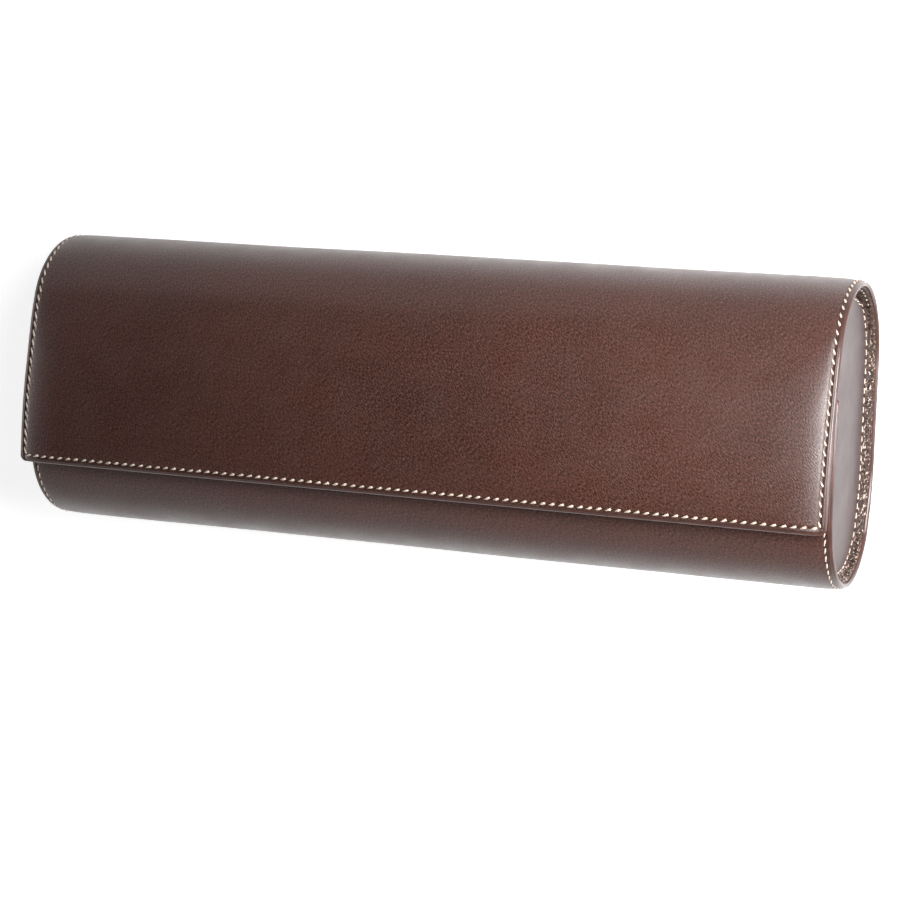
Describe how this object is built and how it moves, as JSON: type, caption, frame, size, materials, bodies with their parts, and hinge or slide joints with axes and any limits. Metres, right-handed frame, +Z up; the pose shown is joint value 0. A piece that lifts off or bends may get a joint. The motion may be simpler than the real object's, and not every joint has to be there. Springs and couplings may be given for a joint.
{
  "type": "watch storage case",
  "caption": "Rolled leather watch case with a magnetic flap over its mouth, stitched edges, recessed end panels and loose watch cushions in lined bays.",
  "frame": {"origin": "centre of the flat back that the case lies on", "axes": "+X along the case, +Y towards the round ridge where the flap is hinged, +Z up out of the flap's outer face"},
  "size_m": [0.28, 0.0978, 0.0641],
  "materials": {
    "wrap_leather": "smooth calf leather, dark brown, satin",
    "edge_paint": "burnished and painted leather edge",
    "gusset_leather": "smooth calf leather on the plate, rough on its turned flange",
    "suede": "short-nap suede lining, taupe brown",
    "cushion_suede": "padded suede",
    "board": "plain fibre board",
    "cushion_former": "stiff foam block",
    "magnet": "nickel-plated disc magnet"
  },
  "bodies": {
    "case_body": {"body_cover": "wrap_leather", "body_board": "board", "body_lining": "suede", "lip_bead": "edge_paint", "left_gusset": "gusset_leather", "right_gusset": "gusset_leather", "left_gusset_board": "board", "right_gusset_board": "board", "left_gusset_lining": "suede", "right_gusset_lining": "suede", "divider_1": "suede", "divider_2": "suede", "divider_3": "suede", "body_magnets": "magnet", "hinge_fold": "wrap_leather", "hinge_lining": "suede"},
    "flap": {"flap_cover": "wrap_leather", "flap_board": "board", "flap_lining": "suede", "flap_magnets": "magnet"},
    "watch_cushion_1": {"cushion_1": "cushion_suede", "cushion_core_1": "cushion_former"},
    "watch_cushion_2": {"cushion_2": "cushion_suede", "cushion_core_2": "cushion_former"},
    "watch_cushion_3": {"cushion_3": "cushion_suede", "cushion_core_3": "cushion_former"},
    "watch_cushion_4": {"cushion_4": "cushion_suede", "cushion_core_4": "cushion_former"}
  },
  "joints": [
    {"name": "flap_hinge", "type": "hinge", "parent": "case_body", "child": "flap", "pos_m": [0, 0.04305, 0.01066], "axis": [-1, 0, 0], "range_deg": [0, 100], "deforming": ["hinge_fold", "hinge_lining"]},
    {"name": "cushion_slide_1", "type": "slide", "parent": "case_body", "child": "watch_cushion_1", "axis": [0, 0.5739, 0.8189], "range_m": [0, 0.012]},
    {"name": "cushion_slide_2", "type": "slide", "parent": "case_body", "child": "watch_cushion_2", "axis": [0, 0.5739, 0.8189], "range_m": [0, 0.012]},
    {"name": "cushion_slide_3", "type": "slide", "parent": "case_body", "child": "watch_cushion_3", "axis": [0, 0.5739, 0.8189], "range_m": [0, 0.012]},
    {"name": "cushion_slide_4", "type": "slide", "parent": "case_body", "child": "watch_cushion_4", "axis": [0, 0.5739, 0.8189], "range_m": [0, 0.012]}
  ]
}
